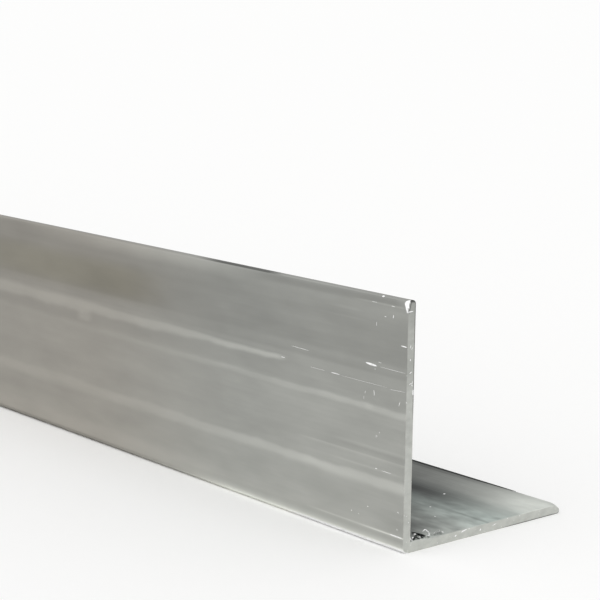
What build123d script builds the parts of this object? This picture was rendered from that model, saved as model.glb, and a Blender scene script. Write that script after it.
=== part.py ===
from build123d import *

import os

# A length of extruded aluminium angle with unequal legs, sawn square at both ends. It lies
# on its lower leg. The bar runs along Y, the lower leg points along +X and the upright leg
# stands along +Z at the -X side, with its outer face towards -X. The sawn end at -Y has a
# chipped corner. The origin is under the middle of the bounding box. All sizes are in
# millimetres.

# Section
leg_height = 50.0
leg_width = 45.0
wall = 2.0
heel_radius = 1.2
root_radius = 0.5
toe_radius = 0.8

# Stock length
stock_length = 1000.0

# Chip at the top outer corner of the upright, at the -Y end, measured from where the square
# corner would be: along the bar, inward through the wall, and down the sawn edge
chip_along_bar = 1.0
chip_through_wall = 0.7
chip_down_edge = 2.5

# Places that the section and the chip share
outer_x = -leg_width / 2
toe_x = leg_width / 2
inner_x = outer_x + wall
chipped_end_y = -stock_length / 2

heel_corner = (outer_x, 0)
root_corner = (inner_x, wall)
toe_corners = [
    (toe_x, 0),
    (toe_x, wall),
    (inner_x, leg_height),
    (outer_x, leg_height),
]

# The facet of the chip goes through one point on each of the three edges that met there,
# and looks outwards, away from the bar
square_corner = Vector(outer_x, chipped_end_y, leg_height)
along_point = square_corner + Vector(0, chip_along_bar, 0)
through_point = square_corner + Vector(chip_through_wall, 0, 0)
down_point = square_corner - Vector(0, 0, chip_down_edge)
chip_outward = (down_point - along_point).cross(through_point - along_point)
chip_plane = Plane(origin=along_point, z_dir=chip_outward)

with BuildPart() as angle_profile:
    with BuildSketch(Plane.XZ) as section:
        with BuildLine():
            Polyline(
                heel_corner,
                toe_corners[0],
                toe_corners[1],
                root_corner,
                toe_corners[2],
                toe_corners[3],
                close=True,
            )
        make_face()
        for toe_corner in toe_corners:
            fillet(section.vertices().sort_by_distance(toe_corner)[0], toe_radius)
        fillet(section.vertices().sort_by_distance(heel_corner)[0], heel_radius)
        fillet(section.vertices().sort_by_distance(root_corner)[0], root_radius)
    extrude(amount=stock_length / 2, both=True)
    split(bisect_by=chip_plane, keep=Keep.BOTTOM)

angle_profile.part.label = "angle_profile"

os.makedirs("parts", exist_ok=True)
export_step(angle_profile.part, "parts/angle_profile.step")
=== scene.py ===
import math

import bmesh
import bpy
import numpy as np
from mathutils import Matrix, Vector


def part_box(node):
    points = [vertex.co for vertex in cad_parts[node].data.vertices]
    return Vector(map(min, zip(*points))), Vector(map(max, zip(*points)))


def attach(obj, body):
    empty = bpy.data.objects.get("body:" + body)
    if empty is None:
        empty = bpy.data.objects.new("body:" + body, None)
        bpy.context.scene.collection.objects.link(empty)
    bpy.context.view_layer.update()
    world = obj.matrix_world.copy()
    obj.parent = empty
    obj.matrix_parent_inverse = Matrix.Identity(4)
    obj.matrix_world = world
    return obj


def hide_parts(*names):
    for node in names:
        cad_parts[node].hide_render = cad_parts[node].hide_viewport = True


bl_info = {
    "name": "Sawn aluminium angle",
    "version": (1, 0, 0),
    "blender": (4, 5, 0),
    "location": "3D View > Sidebar > Angle",
    "description": "A mill finish aluminium angle with die lines, scratches and a sawn end",
    "category": "Add Mesh",
}

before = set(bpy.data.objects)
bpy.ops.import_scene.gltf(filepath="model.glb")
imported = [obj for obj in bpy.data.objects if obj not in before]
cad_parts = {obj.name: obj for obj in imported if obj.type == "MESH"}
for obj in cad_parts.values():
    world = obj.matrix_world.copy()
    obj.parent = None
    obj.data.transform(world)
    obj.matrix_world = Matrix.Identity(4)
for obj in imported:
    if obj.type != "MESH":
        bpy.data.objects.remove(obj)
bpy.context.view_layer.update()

MM = 0.001
NODE = "angle_profile"
BODY = "root"

# The bar's box in millimetres, as the frame gives it
LOW, HIGH = (np.array(corner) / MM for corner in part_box(NODE))
OUTER_X, NEAR_Y, FLOOR_Z = LOW
TOE_X, FAR_Y, TOP_Z = HIGH
BAR_LENGTH = FAR_Y - NEAR_Y

ACROSS, ALONG, UP = np.eye(3)

# Wide die bands on the outer face change along the bar. Each has its height, the distance
# from the sawn end where it starts, and then its half width and its change of tone at
# these distances from the sawn end. Everything is in mm.
BAND_PLACES = [0, 40, 80, 130]
WIDE_BANDS = [
    (13.0, 0, [1.10, 1.00, 1.20, 1.50], [0.120, 0.080, 0.045, 0.030]),
    (27.5, 0, [0.70, 0.60, 0.60, 0.80], [0.105, 0.055, 0.020, 0.000]),
    (32.7, 37, [0.40, 0.50, 1.00, 1.50], [0.160, 0.130, 0.080, 0.060]),
]

# Fine lines that show near the sawn end: height, half width, change of tone, start and stop
FINE_LINES = [
    (48.3, 0.12, 0.100, 2, 15),
    (46.2, 0.25, 0.030, 15, 24),
    (44.4, 0.25, 0.020, 14, 26),
    (19.5, 0.30, 0.035, 0, 22),
    (18.7, 0.35, -0.025, 0, 20),
    (17.5, 0.20, 0.075, 0, 32),
    (15.4, 0.20, 0.050, 2, 22),
    (6.7, 0.30, 0.030, 0, 6),
    (3.15, 0.16, 0.180, 0, 12),
    (3.15, 0.16, 0.090, 0, 28),
]

# The same on top of the lower leg, placed by the distance from the heel
LEG_LINES = [
    (9.0, 0.6, 0.050, 0, 20),
    (12.3, 1.2, -0.080, 3, 14),
    (14.0, 0.5, 0.040, 3, 30),
    (16.5, 0.4, -0.040, 2, 24),
    (22.3, 0.4, 0.080, 8, 22),
    (23.6, 0.4, -0.200, 0, 12),
    (35.5, 0.8, 0.030, 8, 40),
]

# Soft steps of tone on the outer face: the change, the heights where it starts and where it
# is full, and the distances from the sawn end over which it comes in or goes out
FACE_STEPS = [
    (-0.027, (31.2, 32.2)),
    (-0.030, (34, 34.8)),
    (-0.023, (36.3, 37.1)),
    (0.020, (44, 46)),
    (-0.012, (20, 8), (72, 98)),
    (-0.045, (10, 6), (11, 1)),
    (-0.045, (47.9, 48.6), (50, 36), (1, 4)),
    (0.100, (46.3, 49.3), (42, 66), (150, 80)),
]

# Soft stripes along the outer face: the change, the height with the half width, and the
# distances as above. The flat ones hold their tone across most of their width.
FACE_STRIPES = [
    (0.018, (35, 1.1), (55, 72)),
    (-0.022, (35, 1.1), (55, 40)),
    (0.015, (47, 1.2), (14, 3)),
    (-0.018, (17, 3.5), (12, 4)),
]
FLAT_STRIPES = [
    (-0.025, (30, 1.7)),
    (-0.010, (30, 1.7), (50, 70)),
    (-0.030, (40, 4), (74, 94), (124, 104)),
]

# Soft spots on the outer face: the change, the height with the half height, and the distance
# from the sawn end with the half length
FACE_SPOTS = [
    (-0.020, (32, 0.9), (38, 18)),
    (0.050, (27.4, 0.8), (10.5, 1.3)),
    (0.020, (29.3, 0.8), (8, 1.5)),
]

# Soft steps and stripes on top of the lower leg, placed by the distance from the heel. The
# first step darkens the root and the last darkens the toe's edge, as dirt and painted shade.
LEG_STEPS = [
    (-0.12, (7, 3)),
    (0.25, (8, 4.5), (0.6, 0.1)),
    (-0.04, (41.5, 43), (14, 26)),
    (-0.30, (43.7, 44.3), (6, 26)),
]
LEG_STRIPES = [(-0.09, (29, 3), (10, 22))]

# Soft steps and stripes on the sawn end, placed by height
END_STEPS = [(-0.05, (32, 37)), (-0.09, (46, 49.5)), (0.025, (10, 3)), (-0.015, (20, 27))]
END_STRIPES = [(-0.06, (46.2, 1)), (-0.03, (36, 3.5)), (-0.03, (24, 3)), (-0.03, (6, 2))]

# Scratches, thin pale lines and small marks on the outer face, with a painted reflection as
# a bright line low on the heel, and a nick in the top edge: distance from the sawn end to the
# middle, height, length, width and slope in degrees
SCRATCHES = [
    (10.0, 36.0, 3.2, 0.42, 3),
    (3.9, 35.9, 7.4, 0.06, 0.5),
    (31.5, 35.6, 5.5, 0.08, 1),
    (26.0, 32.3, 4.5, 0.05, 0),
    (20.5, 32.3, 2.6, 0.15, 0),
    (12.0, 32.2, 14.0, 0.04, 0),
    (2.5, 32.1, 4.6, 0.06, -2),
    (0.9, 41.0, 1.7, 0.22, 2),
    (5.0, 15.4, 2.8, 0.07, 0),
    (8.0, 15.5, 0.6, 0.13, 0),
    (2.0, 3.2, 3.5, 0.24, 0),
    # A painted reflection: a long bright sliver low on the heel
    (13.0, 0.5, 26.0, 0.50, 0),
    (7.2, 49.8, 0.7, 0.40, 0),
    (0.5, 48.5, 2.0, 0.26, 67),
    (4.1, 48.3, 1.0, 0.10, 0),
    (9.4, 48.4, 1.6, 0.07, 0),
    (4.0, 46.3, 0.7, 0.16, 100),
    (6.2, 46.0, 0.6, 0.10, 0),
    (8.7, 44.2, 0.8, 0.10, 90),
    (9.0, 30.5, 1.2, 0.12, 80),
    (1.8, 29.6, 1.0, 0.12, 110),
    (36.9, 32.8, 1.2, 0.15, 0),
]

# Where small marks lie on the outer face: how many, then the least and the most distance
# from the sawn end, height, length and slope
MARK_PATCHES = [
    (3, (7, 9), (35, 38.5), (0.2, 0.4), (0, 90)),
    (2, (10, 12), (28.5, 31), (0.4, 0.7), (70, 110)),
    (3, (7, 9), (21.5, 23.5), (0.2, 0.6), (60, 90)),
    (5, (1, 21), (3.5, 9), (0.3, 0.5), (20, 110)),
]

# Small marks on top of the lower leg: distance from the heel and from the sawn end, length, width
LEG_MARKS = [(31, 20, 0.5, 0.5), (22, 15, 0.4, 0.4), (18, 9.5, 0.4, 0.3), (11.9, 1.1, 0.6, 0.4)]

# Marks on the sawn end: distance from the heel, height, length, width and slope in degrees
END_MARKS = [
    (0.7, 47.8, 1.4, 0.18, 3),
    (1.8, 32.0, 1.2, 0.24, 90),
    (14.5, 1.0, 0.6, 0.25, 30),
    (16.8, 1.6, 1.6, 0.30, 12),
    (21.5, 0.9, 0.5, 0.25, 60),
    (25.5, 1.2, 1.2, 0.14, 15),
]

# Shavings that stand out in the inner corner, as the four corners of a curve and its half
# width. A corner is its distance from the heel and from the sawn end, and its height.
BRIGHT_STRANDS = [
    ([(6.3, 1.0, 1.15), (6.9, 1.0, 1.95), (7.6, 1.0, 1.20), (8.0, 1.0, 0.10)], 0.20),
    ([(7.2, 0.9, 1.25), (7.6, 0.9, 1.00), (7.9, 0.9, 0.60), (8.0, 0.9, 0.10)], 0.28),
    ([(8.0, 1.0, 0.10), (8.0, 0.9, 0.00), (7.7, 0.8, 0.10), (7.5, 0.8, 0.15)], 0.22),
    ([(4.0, 1.0, 0.85), (4.1, 1.0, 1.10), (4.3, 1.0, 1.10), (4.5, 1.0, 0.85)], 0.35),
    ([(4.9, 0.5, 0.25), (5.1, 0.5, 0.65), (5.5, 0.5, 0.55), (5.8, 0.5, 0.05)], 0.30),
    ([(3.0, 0.6, 0.50), (3.2, 0.6, 0.70), (3.5, 0.6, 0.70), (3.7, 0.6, 0.50)], 0.25),
    ([(2.1, 0.3, 1.10), (2.1, 0.3, 0.60), (2.4, 0.3, 0.25), (3.4, 0.3, 0.15)], 0.28),
]

# Dark strands of oily dirt and painted shade. The first lies along the lower toe's edge. The
# others cross in front of the bright ones, shading their gaps, and lie behind them along the root.
DARK_STRANDS = [
    ([(44.5, 12.0, 0.00), (44.6, 30.0, -0.06), (44.6, 50.0, -0.06), (44.6, 75.0, -0.02)], 0.26),
    ([(7.3, 1.2, 0.15), (7.2, 2.4, 0.15), (6.9, 3.4, 0.15), (6.7, 4.6, 0.15)], 0.30),
    ([(2.9, 0.0, 0.32), (3.2, 0.1, 0.60), (3.6, 0.2, 1.05), (4.4, 0.6, 1.20)], 0.28),
    ([(3.8, 0.4, 0.80), (4.1, 0.3, 0.60), (4.3, 0.1, 0.35), (4.6, 0.0, 0.25)], 0.26),
    ([(5.0, 0.5, 0.95), (5.2, 0.3, 0.60), (5.3, 0.1, 0.40), (5.6, 0.0, 0.30)], 0.26),
    ([(2.8, 1.2, 0.15), (2.8, 2.0, 0.30), (2.9, 3.2, 0.30), (3.2, 4.6, 0.15)], 0.40),
]


def rgb(name, description, default):
    """A colour property, in linear red, green and blue."""
    return bpy.props.FloatVectorProperty(
        name=name, description=description, default=default, subtype="COLOR", size=3, min=0, max=2
    )


def length(name, description, default):
    """A length property, in millimetres in the script and metres in the panel."""
    return bpy.props.FloatProperty(
        name=name, description=description, default=default * MM, unit="LENGTH", min=0, precision=5
    )


def amount(name, description, default):
    """A plain number property between nothing and one."""
    return bpy.props.FloatProperty(
        name=name, description=description, default=default, subtype="FACTOR", min=0, max=1
    )


class ANGLE_PG_profile(bpy.types.PropertyGroup):
    """Sizes of the section and of the relief on it."""

    wall: length("Wall", "Thickness of both legs", 2.0)
    heel_radius: length("Heel radius", "Rounding of the outer corner", 1.2)
    root_radius: length("Root radius", "Rounding of the inner corner", 0.5)
    toe_radius: length("Toe radius", "Rounding of the free edges", 0.8)
    die_relief: length("Die line depth", "Depth of the fine lines along the bar", 0.006)
    saw_relief: length("Saw mark depth", "Depth of the marks on the sawn end", 0.02)
    saw_pitch: length("Saw mark pitch", "Distance between marks on the sawn end", 0.7)
    toe_wear: length("Toe wear", "Depth of wear on the lower toe's corner at the cut", 0.7)
    burr: length("Burr", "Height of the saw's burr beside the root, on the cut's edge", 0.3)


class ANGLE_PG_chip(bpy.types.PropertyGroup):
    """The chip at the top outer corner of the near end."""

    along: length("Along the bar", "Reach of the chip along the bar", 1.0)
    through: length("Through the wall", "Reach of the chip into the wall", 0.7)
    down: length("Down the edge", "Reach of the chip down the sawn edge", 2.5)


class ANGLE_PG_finish(bpy.types.PropertyGroup):
    """Tints, tones and gloss of the metal. A point's colour is its tone times its tint."""

    clean: rgb("Clean tint", "Tint of clean metal", (1.0, 1.012, 0.953))
    beige: rgb("Beige tint", "Tint of the face away from the cut", (1.0, 0.958, 0.870))
    brown: rgb("Brown tint", "Tint of the dull patch", (1.0, 0.950, 0.800))
    green: rgb("Green tint", "Tint of the lower leg near the cut", (0.97, 1.03, 0.965))
    # Also the colour of the painted reflection on the heel
    bright: rgb("Bright metal", "Colour of scratches, chips and burrs", (0.97, 0.97, 0.97))
    # This dark colour is oily dirt and also paints the shade among the shavings and along the lower toe's
    # edge
    dirt_and_shade: rgb("Grime", "Colour of the oily dirt in the inner corner", (0.012, 0.014, 0.013))
    face: amount("Face tone", "Tone of the lower part of the outer face", 0.39)
    hidden: amount("Hidden tone", "Tone of the inner and lower sides", 0.55)
    sawn: amount("Sawn tone", "Tone of the sawn ends", 0.51)
    roughness: amount("Roughness", "Roughness of the mill face", 0.38)
    anisotropy: amount("Anisotropy", "Stretch of the gloss across the die lines", 0.5)
    edge_gloss: amount("Edge gloss", "Brightness of the metal seen at a low angle", 0.65)


class ANGLE_PG_stage(bpy.types.PropertyGroup):
    """Floor, light and camera."""

    floor: rgb("Floor", "Colour of the floor", (0.985, 0.985, 0.98))
    fill: amount("Fill", "Strength of the light that comes evenly from all round", 0.75)
    lamp: bpy.props.FloatProperty(
        name="Lamp", description="Strength of the wide soft lamp", default=1.06, min=0, max=10
    )
    lamp_spread: bpy.props.FloatProperty(
        name="Lamp spread",
        description="Angle that the lamp fills",
        default=math.radians(100),
        unit="ROTATION",
    )
    lens: bpy.props.FloatProperty(
        name="Lens", description="Focal length in millimetres", default=106.56, min=10, max=400
    )


def settings():
    """The four groups of settings, from the scene."""
    scene = bpy.context.scene
    return scene.angle_profile, scene.angle_chip, scene.angle_finish, scene.angle_stage


def mesh_object(name, points, quads):
    """An object at the origin, from points in millimetres and an array of four-point faces."""
    mesh = bpy.data.meshes.new(name)
    mesh.from_pydata((points * MM).tolist(), [], quads.tolist())
    mesh.update()
    made = bpy.data.objects.new(name, mesh)
    bpy.context.scene.collection.objects.link(made)
    return made


def finish_piece(piece, materials, sharp_degrees=60):
    """Materials, outward faces, smooth shading with sharp edges kept, and a ride on the body."""
    for material in materials:
        piece.data.materials.append(material)
    work = bmesh.new()
    work.from_mesh(piece.data)
    bmesh.ops.recalc_face_normals(work, faces=work.faces[:])
    work.to_mesh(piece.data)
    work.free()
    piece.data.shade_smooth()
    piece.data.set_sharp_from_angle(angle=math.radians(sharp_degrees))
    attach(piece, BODY)


def grid_quads(index):
    """Four-point faces between the neighbours of a two-way array of point numbers."""
    return np.stack([index[:-1, :-1], index[1:, :-1], index[1:, 1:], index[:-1, 1:]], -1).reshape(-1, 4)


def arc(centre, radius, first, sweep, count=9):
    """Points on a circle about centre, from the angle first through sweep, in the section."""
    angle = np.radians(first + np.linspace(0.0, sweep, count))
    return np.stack([centre[0] + radius * np.cos(angle), centre[1] + radius * np.sin(angle)], 1)


def straight(start, stop, count):
    """Evenly spaced points between two points, without the two."""
    share = np.linspace(0.0, 1.0, count + 1)[1:-1, None]
    return start + (stop - start) * share


def section_paths(profile):
    """The outer and the inner side of the section, from the upper toe to the lower toe.

    Both have the same number of points, so that a point of one lies across the wall from the
    same point of the other. Each is toe arc, straight leg, corner arc, straight leg, toe arc.
    """
    wall, heel = profile.wall / MM, profile.heel_radius / MM
    root, toe = profile.root_radius / MM, profile.toe_radius / MM
    inner_x, inner_z = OUTER_X + wall, FLOOR_Z + wall
    upright_count, leg_count = 170, 118
    sides = [
        (
            arc((OUTER_X + toe, TOP_Z - toe), toe, 90, 90),
            arc((OUTER_X + heel, FLOOR_Z + heel), heel, 180, 90),
            arc((TOE_X - toe, FLOOR_Z + toe), toe, -90, 90),
        ),
        (
            arc((inner_x - toe, TOP_Z - toe), toe, 90, -90),
            arc((inner_x + root, inner_z + root), root, 180, 90),
            arc((TOE_X - toe, inner_z - toe), toe, 90, -90),
        ),
    ]
    paths = []
    for upper, corner, lower in sides:
        upright = straight(upper[-1], corner[0], upright_count)
        leg = straight(corner[-1], lower[0], leg_count)
        paths.append(np.concatenate([upper, upright, corner, leg, lower]))
    return paths


def stations():
    """Distances from the sawn end: close near it, where the marks are, and wider further on."""
    spacings = [(0.0, 6.0, 0.4), (6.0, 40.0, 1.0), (40.0, 140.0, 2.5)]
    plain_from, plain_count = spacings[-1][1], 42
    close = [np.arange(*spacing) for spacing in spacings]
    return np.concatenate([*close, np.linspace(plain_from, BAR_LENGTH, plain_count)])


def chip_reach(x, z, chip):
    """How far the chip's facet lies from the sawn end's plane at a place on the section."""
    inward = (x - OUTER_X) / (chip.through / MM)
    downward = (TOP_Z - z) / (chip.down / MM)
    return np.maximum(chip.along / MM * (1.0 - inward - downward), 0.0)


def bell(value, middle, half):
    """A smooth hump, one at the middle and fading over the half width."""
    return np.exp(-(((value - middle) / half) ** 2))


def ramp(value, start, stop):
    """Rises from nought at start to one at stop, with soft ends. It falls if stop is lower."""
    share = np.clip((value - start) / (stop - start), 0.0, 1.0)
    return share * share * (3.0 - 2.0 * share)


def wander(y, seed):
    """A wandering along the bar, within one to both sides: the sum of three sine waves."""
    waves = [(0.5, 6.1, 1), (0.3, 2.3, 2), (0.2, 0.9, 3)]
    return sum(part * np.sin(y / pitch + turns * seed) for part, pitch, turns in waves)


def fine_lines(place, y, lines):
    """Sum of thin humps across the bar, drifting slightly, with soft starts and stops."""
    total = np.zeros(np.broadcast(place, y).shape)
    for middle, half, change, start, stop in lines:
        begun = ramp(y, start - 3.0, start + 1.0) if start > 0 else 1.0
        shown = begun * ramp(y, stop + 2.0, stop - 6.0)
        total += change * bell(place, middle + 0.1 * half * wander(y, middle), half) * shown
    return total


def plateau(value, middle, half):
    """A flat hump with soft sides, one at the middle and about a third at the half width."""
    return np.exp(-(((value - middle) / half) ** 4))


def wide_bands(z, y):
    """Sum of flat humps whose width and tone change along the bar, sharper above than below."""
    swell, drift = 0.18, 0.24
    above, below = 1.25, 0.85
    total = np.zeros(np.broadcast(z, y).shape)
    for middle, start, halves, changes in WIDE_BANDS:
        half = np.interp(y, BAND_PLACES, halves) * (1.0 + swell * wander(y, middle))
        change = np.interp(y, BAND_PLACES, changes)
        offset = z - middle - drift * wander(y, 2 * middle)
        skewed = np.where(offset > 0, offset * above, offset * below)
        begun = ramp(y, start - 2.0, start + 2.0) if start > 0 else 1.0
        total += change * plateau(skewed, 0.0, half) * begun
    return total


def soft_changes(place, y, rows, shape):
    """Sum of changes of tone, each times its step or hump across and its fades along y."""
    total = np.zeros(np.broadcast(place, y).shape)
    for change, across, *along in rows:
        part = change * shape(place, *across)
        for fade in along:
            part = part * ramp(y, *fade)
        total = total + part
    return total


def outer_face(z, y, finish):
    """Tone of the outer face, and its shares of beige and brown.

    The tone fades a little away from the cut. The steps, stripes, spots, bands and lines of
    the lists are added to it, with one pale spot further on. It is painted lighter low down,
    to make up for the light that comes back less from the floor there, and a painted reflection
    lightens the heel near the cut, but it is darker there further on. Beige grows with the
    distance, and brown lies in one long patch.
    """
    tone = finish.face - 0.025 * ramp(y, 32.0, 50.0) - 0.008 * ramp(y, 72.0, 98.0)
    tone = tone + soft_changes(z, y, FACE_STEPS, ramp)
    tone = tone + soft_changes(z, y, FACE_STRIPES, bell)
    tone = tone + soft_changes(z, y, FLAT_STRIPES, plateau)
    for change, across, along in FACE_SPOTS:
        tone = tone + change * bell(z, *across) * bell(y, *along)
    tone = tone + 0.065 * plateau(z, 30.2, 1.2) * plateau(y, 111.5, 2.2)
    tone = tone + wide_bands(z, y) + fine_lines(z, y, FINE_LINES)
    # Painted light low down, and a painted reflection on the foot of the face near the cut
    rise = 0.09 * ramp(z, 19.0, 12.0) + 0.11 * ramp(z, 8.0, 2.5) * (1.0 + ramp(y, 10.0, 60.0))
    low = (0.065 * ramp(z, 2.4, 1.6) + 0.13 * ramp(z, 1.7, 1.1)) * ramp(y, 75.0, 50.0)
    # Painted reflection: a bright strip on the heel's rounding, fading away from the cut
    glow = 0.6 * ramp(z, 1.1, 0.8) * np.exp(-y / 50.0)
    darker = 0.14 * ramp(z, 1.6, 0.7) * ramp(y, 55.0, 95.0)
    tone = tone * (1.0 + rise) + low + glow - darker
    brown = plateau(z, 40.5, 4.0) * ramp(y, 72.0, 98.0) * ramp(y, 200.0, 130.0)
    return tone, ramp(y, 45.0, 115.0), brown


def top_rim(y):
    """Tone of the top edge: even, but dark over a short stretch further on."""
    return 0.36 - 0.22 * ramp(y, 37.0, 43.0) * ramp(y, 68.0, 58.0)


def near_cut(x, y):
    """How far the leg's painted light and shade near the cut hold: one there, nought further on, later at
    the toe.
    """
    return ramp(y - 0.6 * x, 42.0, 13.0)


def leg_top(x, y, finish):
    """Tone on top of the lower leg, painted light at the cut and painted shade further in.

    The pale tone at the cut is divided by one plus the square of the distance over a reach,
    which is shorter near the root than near the toe, so painted shade grows away from the cut.
    The steps, stripes and lines of the lists are added. Further on it eases over to the tone
    of the hidden sides, with painted shade towards the root.
    """
    # Painted light at the cut, which the reach below turns into painted shade further in
    at_cut = 0.36 + 0.10 * bell(x, 8.5, 1.5) + 0.15 * ramp(x, 16.0, 20.0) - 0.07 * bell(x, 30.0, 2.5)
    at_cut = at_cut + 0.18 * ramp(x, 31.5, 36.0) - 0.10 * ramp(x, 41.0, 44.5)
    reach = 3.5 + 9.5 * ramp(x, 8.0, 16.5) + 4.5 * ramp(x, 33.0, 41.0)
    near = 1.0 / (1.0 + (y / reach) ** 2)
    tone = 0.04 + at_cut * near + fine_lines(x, y, LEG_LINES) * (0.3 + 0.7 * near)
    tone = tone + soft_changes(x, y, LEG_STEPS, ramp) + soft_changes(x, y, LEG_STRIPES, bell)
    # Painted shade towards the root, further on
    further_on = finish.hidden - 0.1 * ramp(x, 6.0, 3.0)
    held = near_cut(x, y)
    return tone * held + further_on * (1.0 - held)


def hidden_side(place, y, finish, seed):
    """Tone of a hidden side: even, with seeded lines all along the bar.

    Each line's place, half width and change of tone lie between a least and a most.
    """
    rng = np.random.default_rng(seed)
    least, most = [2, 0.15, -0.07], [48, 1.2, 0.06]
    lines = [(*rng.uniform(least, most), 0, 2 * BAR_LENGTH) for _ in range(16)]
    return finish.hidden + fine_lines(place, y, lines)


def end_face(x, z, chip, finish):
    """Tone of the sawn end.

    It has the steps and stripes of the lists, is a little paler along the lower leg, and is
    dark in a thin stripe along the top, and in a thin stripe of painted shade beside the chip.
    """
    tone = finish.sawn + soft_changes(z, x, END_STEPS, ramp) + soft_changes(z, x, END_STRIPES, bell)
    tone = tone + 0.02 * ramp(x, 1.5, 4.0) + 0.04 * bell(x, 16.8, 1.6)
    # Painted shade in a thin dark stripe beside the chip's edge
    beside = (x / (chip.through / MM) + (TOP_Z - z) / (chip.down / MM) - 1.0) * chip.through / MM
    stripe = bell(beside, 0.16, 0.16) * ramp(z, 47.3, 48.0)
    return tone - 0.28 * np.maximum(stripe, ramp(z, 49.3, 49.8))


def between(first, second, share):
    """The first colour where the share is nought and the second where it is one."""
    first, second = np.array(first), np.array(second)
    return first + (second - first) * np.asarray(share)[..., None]


def painted(tone, tint, bare, finish):
    """Colours with opacity: the tone times the tint, and bright metal where it is bare."""
    darkest, palest = 0.015, 0.97
    colour = np.clip(tone[..., None] * tint, darkest, palest)
    colour = between(colour, finish.bright, bare)
    return np.concatenate([colour, np.ones_like(colour[..., :1])], -1)


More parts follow.
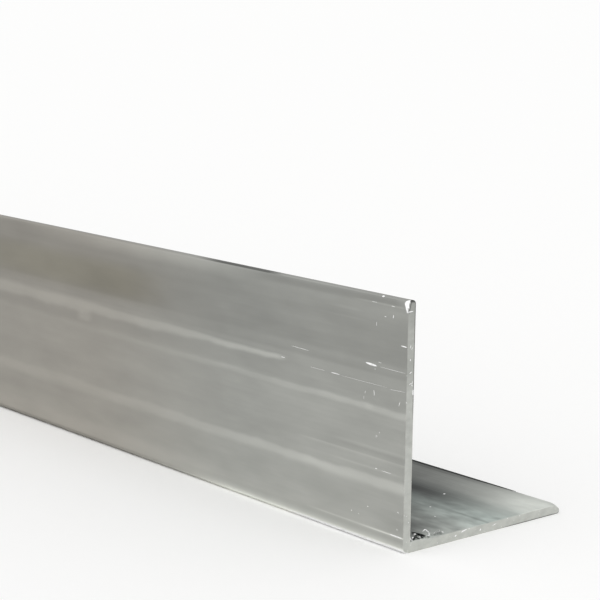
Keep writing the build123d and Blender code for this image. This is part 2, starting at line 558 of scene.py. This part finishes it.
class BarShape:
    """The bar's points, faces, colours, shares and material numbers.

    The skin is the closed outline of the section carried along the bar. Each outline point is
    moved along the line across the wall by a sum of sine waves of its place round the
    section, which makes shallow lines all along the bar. Behind the chip the rows are
    squeezed, so that their rim follows the facet, and near the cut the wear and the burr
    change the heights. Each end is a grid that joins the outer side to the inner one, with
    waves of the distance from the saw's hub as saw marks.
    """

    # Cells across the wall, and where the saw's hub was in the plane of the cut
    across = 8
    hub = (90.0, -60.0)

    # How far from the cut the squeeze behind the chip, the toe's wear and the burr reach
    squeeze_reach, wear_reach, burr_reach = 4.0, 2.2, 0.5

    # How far the leg's look climbs the root, the top edge's look goes down and the outer
    # face's look passes the heel, and how soon the chip's metal turns bright
    root_climb, top_depth, heel_margin, chip_rim = 0.3, 0.3, 0.1, 0.1

    def __init__(self, profile, chip, finish):
        self.profile, self.chip, self.finish = profile, chip, finish
        outer, inner = section_paths(profile)
        self.count = len(outer)
        share = np.linspace(0.0, 1.0, self.across + 1)
        self.lattice = outer[:, None] + (inner - outer)[:, None] * share[None, :, None]
        toe, top = self.lattice[-1, 1:-1], self.lattice[0, 1:-1]
        ring = np.concatenate([outer, toe, inner[::-1], top[::-1]])
        self.size = len(ring)
        self.inner_start = self.count + self.across - 1
        self.ring = ring + self.relief(ring, outer, inner)
        self.along = stations()
        self.index = np.arange(len(self.along) * self.size).reshape(-1, self.size)

    def relief(self, ring, outer, inner):
        """How far each outline point moves into the wall for the die lines."""
        place = np.cumsum(np.linalg.norm(np.diff(ring, axis=0, append=ring[:1]), axis=1))
        waves = [(1.9, 0.3, 0.4), (0.83, 1.7, 0.3), (1.31, 4.1, 0.3)]
        height = sum(part * np.sin(2 * math.pi * place / pitch + turn) for pitch, turn, part in waves)
        toward = np.zeros_like(ring)
        toward[:self.count] = inner - outer
        toward[self.inner_start:self.inner_start + self.count] = (outer - inner)[::-1]
        toward /= np.maximum(np.linalg.norm(toward, axis=1, keepdims=True), 1e-9)
        return toward * (self.profile.die_relief / MM * 0.5 * (1.0 - height))[:, None]

    def worn(self, x, y, z):
        """The height, lowered at the worn toe corner and raised at the burr beside the root.

        Away from the cut the wear falls off as a square and the burr straight, each over its
        reach. Both ease off along the leg and down the wall.
        """
        from_heel = x - OUTER_X
        wear = self.profile.toe_wear * np.clip(1.0 - y / self.wear_reach, 0.0, 1.0) ** 2
        wear = wear * ramp(from_heel, 43.0, 44.8)
        burr = self.profile.burr * np.clip(1.0 - y / self.burr_reach, 0.0, 1.0)
        burr = burr * ramp(from_heel, 2.05, 2.6) * ramp(from_heel, 8.0, 4.0)
        return z + (burr - wear) * (z - FLOOR_Z) / self.profile.wall

    def skin(self):
        """Points and faces of the long sides. It keeps the places for the colours."""
        shape = (len(self.along), self.size)
        inner_from = self.inner_start - self.across // 2
        leg_below = self.profile.wall / MM + self.root_climb
        self.x = np.broadcast_to(self.ring[:, 0], shape)
        squeeze = np.clip(1.0 - self.along / self.squeeze_reach, 0.0, 1.0)[:, None]
        self.y = self.along[:, None] + chip_reach(self.x, self.ring[:, 1], self.chip) * squeeze
        self.z = self.worn(self.x, self.y, self.ring[:, 1])
        self.from_heel, self.height = self.x - OUTER_X, self.z - FLOOR_Z
        self.inside = np.broadcast_to(np.arange(self.size) >= inner_from, shape)
        self.leg_side = self.inside & (self.height < leg_below)
        points = np.stack([self.x, NEAR_Y + self.y, self.z], -1).reshape(-1, 3)
        return points, grid_quads(np.concatenate([self.index, self.index[:, :1]], 1))

    def skin_colour(self):
        """Colour of each point of the long sides, by the side that it is on.

        The edge of the cut is darker along the upper half of the upright leg's inner side, and
        under the outer part of the lower leg.
        """
        finish, from_heel, height = self.finish, self.from_heel, self.height
        outer_reach = self.profile.heel_radius / MM + self.heel_margin
        outward = ~self.inside & (from_heel < outer_reach) & (height > 0.0)
        top_edge = height > TOP_Z - FLOOR_Z - self.top_depth
        face_tone, beige, brown = outer_face(height, self.y, finish)
        under_tone = hidden_side(from_heel, self.y, finish, 3)
        inner_tone = hidden_side(height, self.y, finish, 5)
        tone = np.select(
            [top_edge, outward, self.leg_side, self.inside],
            [top_rim(self.y), face_tone, leg_top(from_heel, self.y, finish), inner_tone],
            under_tone,
        )
        rim = ramp(from_heel, 0.8, 1.0) * ramp(height, 25.0, 30.0)
        rim = rim + ramp(from_heel, 26.0, 32.0) * ~self.leg_side
        tone = tone - 0.5 * rim * ramp(self.y, 0.8, 0.1)
        tint = between(finish.clean, finish.beige, np.where(outward, beige, 0.2))
        tint = between(tint, finish.brown, brown * outward)
        greener = 1.0 + bell(from_heel, 25.0, 7.0) - 0.4 * ramp(from_heel, 31.0, 36.0)
        tint = between(tint, finish.green, self.leg_side * near_cut(from_heel, self.y) * greener)
        chipped = chip_reach(self.x, self.z, self.chip) * (self.along == 0.0)[:, None]
        return painted(tone, tint, ramp(chipped, 0.0, self.chip_rim), finish).reshape(-1, 4)

    def grain(self):
        """How strongly the drawn lines, and then the blotches, show on the long sides.

        On the outer face the lines are stronger near the cut. The blotches lie on top of the
        lower leg near the cut, and both are strongest there, on the side of the heel.
        """
        near_leg = self.leg_side * near_cut(self.from_heel, self.y)
        heelward = ramp(self.from_heel, 31.0, 27.0) * near_leg
        near_end = self.y < 60.0
        lined = np.select([self.inside, near_end], [0.2 + 0.2 * heelward, 0.22], 0.15)
        blotched = 0.15 * near_leg + 0.45 * heelward
        return np.stack([lined.ravel(), blotched.ravel()])

    def end(self, row, start):
        """Points, faces and colours of the sawn end at one row, numbered from start."""
        edge = self.index[row]
        inside = self.lattice[1:-1, 1:-1]
        grid = np.empty((self.count, self.across + 1), int)
        grid[:, 0] = edge[:self.count]
        grid[-1, 1:-1] = edge[self.count:self.inner_start]
        grid[:, -1] = edge[self.inner_start:self.inner_start + self.count][::-1]
        grid[0, 1:-1] = edge[self.inner_start + self.count:][::-1]
        grid[1:-1, 1:-1] = start + np.arange(inside[..., 0].size).reshape(inside.shape[:2])
        x, z = inside[..., 0], inside[..., 1]
        distance = np.hypot(x - self.hub[0], z - self.hub[1])
        depth = self.profile.saw_relief / MM * 0.5
        mark = depth * (1.0 + np.sin(2 * math.pi * distance / (self.profile.saw_pitch / MM)))
        chipped = chip_reach(x, z, self.chip) * (row == 0)
        if row == 0:
            y = NEAR_Y + chipped + mark
        else:
            y = FAR_Y - mark
        tone = end_face(x - OUTER_X, z, self.chip, self.finish)
        tint = between(self.finish.clean, self.finish.green, 0.2)
        colour = painted(tone, tint, ramp(chipped, 0.0, self.chip_rim), self.finish)
        points = np.stack([x, y, self.worn(x, self.along[row], z)], -1)
        return points.reshape(-1, 3), grid_quads(grid), colour.reshape(-1, 4)

    def whole(self):
        """Points, faces, colours, shares of lines and blotches, and material numbers."""
        points, faces = self.skin()
        near = self.end(0, len(points))
        far = self.end(len(self.along) - 1, len(points) + len(near[0]))
        shares = np.zeros((2, len(points) + 2 * len(near[0])))
        shares[:, :len(points)] = self.grain()
        number = np.repeat([0, 1], [len(faces), len(near[1]) + len(far[1])])
        return (
            np.concatenate([points, near[0], far[0]]),
            np.concatenate([faces, near[1], far[1]]),
            np.concatenate([self.skin_colour(), near[2], far[2]]),
            shares,
            number,
        )


def lay_flow(mesh):
    """A UV map that runs along the bar, so that the gloss stretches the right way."""
    flow = mesh.uv_layers.new(name="flow")
    corner = np.empty(len(mesh.loops), np.int32)
    mesh.loops.foreach_get("vertex_index", corner)
    place = np.empty(len(mesh.vertices) * 3, np.float32)
    mesh.vertices.foreach_get("co", place)
    place = place.reshape(-1, 3)[corner]
    flow.data.foreach_set("uv", np.stack([place[:, 1], place[:, 0] + place[:, 2]], 1).ravel())


class ANGLE_OT_bar(bpy.types.Operator):
    """Make the extruded bar with its die lines, chip and sawn ends"""

    bl_idname = "angle.bar"
    bl_label = "Bar"

    def execute(self, context):
        profile, chip, finish, _ = settings()
        points, quads, colour, shares, number = BarShape(profile, chip, finish).whole()
        bar = mesh_object("bar", points, quads)
        tone = bar.data.attributes.new("tone", "FLOAT_COLOR", "POINT")
        tone.data.foreach_set("color", colour.astype(np.float32).ravel())
        for name, share in zip(("lined", "blotched"), shares):
            drawn = bar.data.attributes.new(name, "FLOAT", "POINT")
            drawn.data.foreach_set("value", share.astype(np.float32))
        bar.data.polygons.foreach_set("material_index", number.astype(np.int32))
        lay_flow(bar.data)
        finish_piece(bar, [mill_material(finish), sawn_material(finish)], sharp_degrees=35)
        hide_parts(NODE)
        return {"FINISHED"}


def sliver(middle, long_way, out_way, long, wide, proud):
    """A closed lens: its half width and height fall off as a half ellipse towards both ends.

    The upper side bulges out of the metal and the lower side lies just inside it.
    """
    wide_way = np.cross(out_way, long_way)
    u, v = np.meshgrid(np.linspace(-1, 1, 13), np.linspace(-1, 1, 5), indexing="ij")
    taper = np.sqrt(np.clip(1.0 - u * u, 0.0016, 1.0))
    flat = middle + long_way * (u * long / 2)[..., None] + wide_way * (v * taper * wide / 2)[..., None]
    top = flat + out_way * (proud * (1.0 - 0.9 * v * v) * taper)[..., None]
    bottom = flat - out_way * 0.4 * proud
    index = np.arange(u.size).reshape(u.shape)
    rim = np.concatenate([index[:-1, 0], index[-1, :-1], index[:0:-1, -1], index[0, :0:-1]])
    after = np.roll(rim, -1)
    wall = np.stack([rim, after, after + u.size, rim + u.size], -1)
    upper = grid_quads(index)
    points = np.concatenate([top.reshape(-1, 3), bottom.reshape(-1, 3)])
    return points, np.concatenate([upper, upper[:, ::-1] + u.size, wall])


def turned(first, second, degrees):
    """The first direction, turned towards the second."""
    turn = math.radians(degrees)
    return first * math.cos(turn) + second * math.sin(turn)


def joined(shapes):
    """One set of points and faces out of several."""
    offset = np.cumsum([0] + [len(points) for points, _ in shapes[:-1]])
    points = np.concatenate([points for points, _ in shapes])
    quads = np.concatenate([quads + shift for (_, quads), shift in zip(shapes, offset)])
    return points, quads


def outer_marks():
    """The scratches, lines and marks of the list, and small marks strewn in their patches."""
    rng = np.random.default_rng(11)
    marks = list(SCRATCHES)
    for number, *ranges in MARK_PATCHES:
        for _ in range(number):
            y, z, long, slope = (rng.uniform(*span) for span in ranges)
            marks.append((y, z, long, rng.uniform(0.08, 0.15), slope))
    return marks


def outer_spot(height, profile):
    """A point's depth behind the flat outer face, and the way out of the metal there.

    The toe and the heel are quarter circles, so both follow from the angle on the circle.
    """
    toe, heel = profile.toe_radius / MM, profile.heel_radius / MM
    above = max(height - (TOP_Z - toe), 0.0) / toe
    below = max(FLOOR_Z + heel - height, 0.0) / heel
    turn = math.asin(min(above, 1.0)) - math.asin(min(below, 1.0))
    radius = toe if above > 0 else heel
    return radius * (1.0 - math.cos(turn)), UP * math.sin(turn) - ACROSS * math.cos(turn)


class ANGLE_OT_scratches(bpy.types.Operator):
    """Make the bright scratches and small marks, as thin raised slivers of metal, and a painted reflection
    as one long bright sliver on the heel
    """

    bl_idname = "angle.scratches"
    bl_label = "Scratches"

    # How far a mark stands out of the metal, in mm
    proud = 0.03

    def execute(self, context):
        profile, _, finish, _ = settings()
        top = FLOOR_Z + profile.wall / MM
        shapes = []
        for from_end, height, long, wide, slope in outer_marks():
            long_way = turned(ALONG, UP, slope)
            y = NEAR_Y + max(from_end, long / 2 * long_way[1])
            behind, out_way = outer_spot(height, profile)
            middle = np.array([OUTER_X + behind, y, height])
            shapes.append(sliver(middle, long_way, out_way, long, wide, self.proud))
        for from_heel, from_end, long, wide in LEG_MARKS:
            middle = np.array([OUTER_X + from_heel, NEAR_Y + from_end, top])
            shapes.append(sliver(middle, ALONG, UP, long, wide, self.proud))
        for from_heel, height, long, wide, slope in [*END_MARKS, *self.end_specks(profile)]:
            middle = np.array([OUTER_X + from_heel, NEAR_Y, height])
            shapes.append(sliver(middle, turned(ACROSS, UP, slope), -ALONG, long, wide, self.proud))
        scratches = mesh_object("scratches", *joined(shapes))
        finish_piece(scratches, [bright_material(finish)])
        return {"FINISHED"}

    def end_specks(self, profile):
        """Seeded specks on the sawn end of the upright leg, in rows like those of END_MARKS."""
        rng = np.random.default_rng(4)
        least = [0.5, 26.0, 0.3, 0.10, 0.0]
        most = [profile.wall / MM - 0.4, 41.5, 0.7, 0.17, 120.0]
        number = 7
        return rng.uniform(least, most, (number, len(least))).tolist()


def strand(corners, half_width, sides=6):
    """A thin flat shaving: a tube of oval section along a cubic curve through four corners.

    The oval lies flat, is half as high as it is wide, and narrows towards both ends.
    """
    t = np.linspace(0.0, 1.0, 22)[:, None]
    a, b, c, d = (np.asarray(corner, float) for corner in corners)
    path = (1 - t) ** 3 * a + 3 * t * (1 - t) ** 2 * b + 3 * t * t * (1 - t) * c + t ** 3 * d
    ahead = np.gradient(path, axis=0)
    ahead /= np.linalg.norm(ahead, axis=1, keepdims=True)
    nearly_up = (0.31, 0.17, 0.93)
    side = np.cross(ahead, nearly_up)
    side /= np.linalg.norm(side, axis=1, keepdims=True)
    other = np.cross(ahead, side)
    turn = np.linspace(0.0, 2 * math.pi, sides + 1)[:-1]
    width = half_width * (0.3 + 0.7 * np.sin(math.pi * t) ** 0.5)
    oval = side[:, None] * np.cos(turn)[None, :, None] + 0.5 * other[:, None] * np.sin(turn)[None, :, None]
    points = (path[:, None] + width[:, None] * oval).reshape(-1, 3)
    index = np.arange(len(points)).reshape(-1, sides)
    ends = [[ring[[0, 1, 2, 3]], ring[[0, 3, 4, 5]]] for ring in (index[0], index[-1])]
    quads = [grid_quads(np.concatenate([index, index[:, :1]], 1)), *map(np.array, ends)]
    return points, np.concatenate(quads)


class ANGLE_OT_shavings(bpy.types.Operator):
    """Make the saw shavings in the inner corner near the cut, and dark strands of oily dirt and painted
    shade on the leg
    """

    bl_idname = "angle.shavings"
    bl_label = "Shavings"

    # The patch that fine ones are strewn over: two corners, from the heel and the sawn end
    near_corner, far_corner = (8.5, 0.5), (12.5, 3.5)

    def execute(self, context):
        profile, _, finish, _ = settings()
        self.floor = np.array([OUTER_X, NEAR_Y, FLOOR_Z + profile.wall / MM])
        rng = np.random.default_rng(21)
        bright = self.strewn(rng, number=4, rise=0.03, half_widths=(0.02, 0.035))
        dark = self.strewn(rng, number=2, rise=0.05, half_widths=(0.06, 0.10))
        shavings = mesh_object("saw_shavings", *joined(self.placed(BRIGHT_STRANDS) + bright))
        finish_piece(shavings, [bright_material(finish)])
        # Dark strands: oily dirt and painted shade
        dirt_and_shade = mesh_object("dirt_and_shade", *joined(self.placed(DARK_STRANDS) + dark))
        finish_piece(dirt_and_shade, [dirt_and_shade_material(finish)])
        return {"FINISHED"}

    def placed(self, strands):
        """The strands of a list, on top of the lower leg."""
        return [strand(np.array(corners) + self.floor, half) for corners, half in strands]

    def strewn(self, rng, number, rise, half_widths):
        """Seeded strands, low curves strewn over the patch, whose middle rises off the leg."""
        shapes = []
        for _ in range(number):
            start = np.append(rng.uniform(self.near_corner, self.far_corner), half_widths[1])
            stop = start + np.append(rng.uniform(-1.5, 1.5, 2), 0.0)
            bend = np.append(rng.uniform(-0.8, 0.8, 2), rise)
            corners = np.array([start, start + bend, stop + bend, stop])
            corners[:, :2] = np.clip(corners[:, :2], self.near_corner, self.far_corner)
            shapes.append(strand(corners + self.floor, rng.uniform(*half_widths)))
        return shapes


def new_material(name):
    """A material with its node tree, and the tree's shader."""
    material = bpy.data.materials.new(name)
    material.use_nodes = True
    return material, material.node_tree, material.node_tree.nodes["Principled BSDF"]


def attribute(tree, name, output):
    """One of the mesh's own attributes."""
    node = tree.nodes.new("ShaderNodeAttribute")
    node.attribute_name = name
    return node.outputs[output]


def blended(tree, factor, first, second, kind="MIX"):
    """A mix of two colours by a factor. Each is a colour or the output of a node."""
    mix = tree.nodes.new("ShaderNodeMix")
    mix.data_type = "RGBA"
    mix.blend_type = kind
    for key, value in (("Factor", factor), ("A", first), ("B", second)):
        socket = next(s for s in mix.inputs if s.name == key and s.enabled)
        if isinstance(value, bpy.types.NodeSocket):
            tree.links.new(value, socket)
        elif key == "Factor":
            socket.default_value = value
        else:
            socket.default_value = (*value, 1)
    return next(s for s in mix.outputs if s.enabled)


def stretched_noise(tree, scale, detail=4.0):
    """Noise on Object coordinates, with its own scale along each axis."""
    place = tree.nodes.new("ShaderNodeTexCoord")
    stretch = tree.nodes.new("ShaderNodeMapping")
    stretch.inputs["Scale"].default_value = scale
    tree.links.new(place.outputs["Object"], stretch.inputs["Vector"])
    noise = tree.nodes.new("ShaderNodeTexNoise")
    noise.inputs["Scale"].default_value = 1.0
    noise.inputs["Detail"].default_value = detail
    tree.links.new(stretch.outputs["Vector"], noise.inputs["Vector"])
    return noise.outputs["Fac"]


def ranged(tree, value, low, high, to_low, to_high):
    """The value, carried from one range to another and held at its ends."""
    node = tree.nodes.new("ShaderNodeMapRange")
    for key, number in (("From Min", low), ("From Max", high), ("To Min", to_low), ("To Max", to_high)):
        node.inputs[key].default_value = number
    tree.links.new(value, node.inputs["Value"])
    return node.outputs["Result"]


def product(tree, first, second):
    """Two colours or values times each other."""
    return blended(tree, 1.0, first, second, "MULTIPLY")


def swing(tree, noise, part):
    """The noise as a factor that swings by this part to both sides of one."""
    return ranged(tree, noise, 0.3, 0.7, 1.0 - part, 1.0 + part)


def mill_material(finish):
    """Extruded metal: the mesh's own colour, with drawn lines, faint clouds and blotches.

    The lines and clouds run along the bar. The mesh's shares "lined" and "blotched" say how
    strongly they and the blotches show.
    """
    material, tree, shader = new_material("mill_finish")
    shader.inputs["Metallic"].default_value = 1.0
    shader.inputs["Anisotropic"].default_value = finish.anisotropy
    shader.inputs["Specular Tint"].default_value = (*[finish.edge_gloss] * 3, 1)
    fine = stretched_noise(tree, (1500.0, 9.0, 1500.0))
    broad = stretched_noise(tree, (420.0, 5.0, 420.0), detail=3.0)
    clouds = stretched_noise(tree, (220.0, 60.0, 220.0), detail=3.0)
    spots = stretched_noise(tree, (320.0, 170.0, 320.0), detail=2.0)
    drawn = product(tree, swing(tree, fine, 0.14), swing(tree, broad, 0.10))
    drawn = product(tree, drawn, swing(tree, clouds, 0.30))
    drawn = blended(tree, attribute(tree, "lined", "Fac"), (1, 1, 1), drawn)
    blotches = ranged(tree, spots, 0.35, 0.65, 0.65, 1.35)
    blotches = blended(tree, attribute(tree, "blotched", "Fac"), (1, 1, 1), blotches)
    drawn = product(tree, drawn, blotches)
    base = product(tree, attribute(tree, "tone", "Color"), drawn)
    tree.links.new(base, shader.inputs["Base Color"])
    rough = ranged(tree, fine, 0.3, 0.7, finish.roughness - 0.05, finish.roughness + 0.06)
    tree.links.new(rough, shader.inputs["Roughness"])
    bump = tree.nodes.new("ShaderNodeBump")
    bump.inputs["Strength"].default_value = 0.05
    bump.inputs["Distance"].default_value = 0.02 * MM
    tree.links.new(fine, bump.inputs["Height"])
    tree.links.new(bump.outputs["Normal"], shader.inputs["Normal"])
    tangent = tree.nodes.new("ShaderNodeTangent")
    tangent.direction_type = "UV_MAP"
    tangent.uv_map = "flow"
    tree.links.new(tangent.outputs["Tangent"], shader.inputs["Tangent"])
    return material


def sawn_material(finish):
    """The cut end: the mesh's own colour, rougher, clouded and finely speckled."""
    material, tree, shader = new_material("sawn_end")
    shader.inputs["Metallic"].default_value = 1.0
    shader.inputs["Roughness"].default_value = 0.5
    clouds = stretched_noise(tree, (420.0, 420.0, 700.0), detail=3.0)
    specks = stretched_noise(tree, (1500.0, 1500.0, 1500.0), detail=1.0)
    base = product(tree, attribute(tree, "tone", "Color"), swing(tree, clouds, 0.08))
    base = blended(tree, ranged(tree, specks, 0.68, 0.76, 0.0, 0.5), base, tuple(finish.bright))
    tree.links.new(base, shader.inputs["Base Color"])
    return material


def bright_material(finish):
    """Freshly torn metal, which scatters the light: nearly white, with a faint grain. It also makes the
    painted reflection on the heel.
    """
    material, tree, shader = new_material("bright_metal")
    shader.inputs["Metallic"].default_value = 0.35
    shader.inputs["Roughness"].default_value = 0.4
    dull = tuple(c * 0.8 for c in finish.bright)
    grain = ranged(tree, stretched_noise(tree, (900.0, 900.0, 900.0), 2.0), 0.35, 0.55, 0.0, 1.0)
    tree.links.new(blended(tree, grain, dull, tuple(finish.bright)), shader.inputs["Base Color"])
    return material


def dirt_and_shade_material(finish):
    """Oily dirt and painted shade: nearly black, with paler crumbs."""
    material, tree, shader = new_material("dirt_and_shade")
    shader.inputs["Roughness"].default_value = 0.6
    shader.inputs["Specular IOR Level"].default_value = 0.25
    pale = tuple(c * 5.0 for c in finish.dirt_and_shade)
    crumbs = ranged(tree, stretched_noise(tree, (2400.0, 2400.0, 2400.0), 2.0), 0.5, 0.7, 0.0, 1.0)
    tree.links.new(blended(tree, crumbs, tuple(finish.dirt_and_shade), pale), shader.inputs["Base Color"])
    return material


class ANGLE_OT_stage(bpy.types.Operator):
    """Make the floor, the light and the camera"""

    bl_idname = "angle.stage"
    bl_label = "Stage"

    def execute(self, context):
        stage = settings()[3]
        context.scene.view_settings.view_transform = "Standard"
        make_floor(stage)
        make_sky(stage)
        make_lamp(stage)
        make_camera(stage)
        return {"FINISHED"}


def make_floor(stage):
    """A wide pale floor that the bar lies on."""
    reach = 20000.0
    corners = reach * np.array([[-1, -1, 0], [1, -1, 0], [1, 1, 0], [-1, 1, 0]])
    floor = mesh_object("floor", corners, np.array([[0, 1, 2, 3]]))
    material, _, shader = new_material("pale_floor")
    shader.inputs["Base Color"].default_value = (*stage.floor, 1)
    shader.inputs["Roughness"].default_value = 1.0
    shader.inputs["Specular IOR Level"].default_value = 0.0
    floor.data.materials.append(material)


def make_sky(stage):
    """Even light all round. It is white where it is seen, also in the metal."""
    world = bpy.data.worlds.new("studio")
    bpy.context.scene.world = world
    world.use_nodes = True
    tree = world.node_tree
    path = tree.nodes.new("ShaderNodeLightPath")
    seen = path.outputs["Is Camera Ray"]
    for key in ("Is Glossy Ray", "Is Transmission Ray"):
        either = tree.nodes.new("ShaderNodeMath")
        either.operation = "MAXIMUM"
        tree.links.new(seen, either.inputs[0])
        tree.links.new(path.outputs[key], either.inputs[1])
        seen = either.outputs["Value"]
    glow = tree.nodes["Background"]
    glow.inputs["Color"].default_value = (1, 1, 1, 1)
    tree.links.new(ranged(tree, seen, 0, 1, stage.fill, 1.0), glow.inputs["Strength"])


def make_lamp(stage):
    """One wide soft lamp, high on the side of the outer face and of the near end.

    It is a sun lamp that fills a wide angle, so it lights the whole floor alike.
    """
    data = bpy.data.lights.new("soft_lamp", "SUN")
    data.angle = stage.lamp_spread
    data.energy = stage.lamp
    lamp = bpy.data.objects.new("soft_lamp", data)
    shines_along = Vector((0.7, 0.6, -1.0))
    lamp.matrix_world = shines_along.to_track_quat("-Z", "Y").to_matrix().to_4x4()
    bpy.context.scene.collection.objects.link(lamp)


def make_camera(stage):
    """The camera at the viewing angle: turned, tipped down and rolled about its own axis.

    Its distances from the heel at the sawn end are in heights of the upright leg.
    """
    yaw, pitch, roll = (math.radians(a) for a in (40.1, 10.16, 0.73))
    leg = TOP_Z - FLOOR_Z
    aside, back, above = 4.563 * leg, 4.784 * leg, 2.18 * leg
    place = Vector((OUTER_X - aside, NEAR_Y - back, FLOOR_Z + above)) * MM
    ahead = Vector((math.sin(yaw) * math.cos(pitch), math.cos(yaw) * math.cos(pitch), -math.sin(pitch)))
    level = Vector((math.cos(yaw), -math.sin(yaw), 0.0))
    upright = level.cross(ahead)
    right = level * math.cos(roll) + upright * math.sin(roll)
    up = upright * math.cos(roll) - level * math.sin(roll)
    turn = Matrix((right, up, -ahead)).transposed()
    data = bpy.data.cameras.new("camera")
    data.sensor_width = 36.0
    data.lens = stage.lens
    data.clip_start = 0.01
    camera = bpy.data.objects.new("camera", data)
    camera.matrix_world = Matrix.Translation(place) @ turn.to_4x4()
    bpy.context.scene.collection.objects.link(camera)
    bpy.context.scene.camera = camera


class ANGLE_PT_panel(bpy.types.Panel):
    """Lists the pieces and their settings"""

    bl_idname = "ANGLE_PT_panel"
    bl_label = "Aluminium angle"
    bl_space_type = "VIEW_3D"
    bl_region_type = "UI"
    bl_category = "Angle"

    def draw(self, context):
        for group in settings():
            box = self.layout.box()
            for key in group.__annotations__:
                box.prop(group, key)
        for operator in OPERATORS:
            self.layout.operator(operator.bl_idname)


GROUPS = {
    "angle_profile": ANGLE_PG_profile,
    "angle_chip": ANGLE_PG_chip,
    "angle_finish": ANGLE_PG_finish,
    "angle_stage": ANGLE_PG_stage,
}
OPERATORS = [ANGLE_OT_bar, ANGLE_OT_scratches, ANGLE_OT_shavings, ANGLE_OT_stage]
CLASSES = [*GROUPS.values(), *OPERATORS, ANGLE_PT_panel]


def register():
    for item in CLASSES:
        bpy.utils.register_class(item)
    for key, group in GROUPS.items():
        setattr(bpy.types.Scene, key, bpy.props.PointerProperty(type=group))


def unregister():
    for key in GROUPS:
        delattr(bpy.types.Scene, key)
    for item in reversed(CLASSES):
        bpy.utils.unregister_class(item)


def main():
    """Makes every piece in order."""
    register()
    bpy.ops.angle.bar()
    bpy.ops.angle.scratches()
    bpy.ops.angle.shavings()
    bpy.ops.angle.stage()


if __name__ == "__main__":
    main()
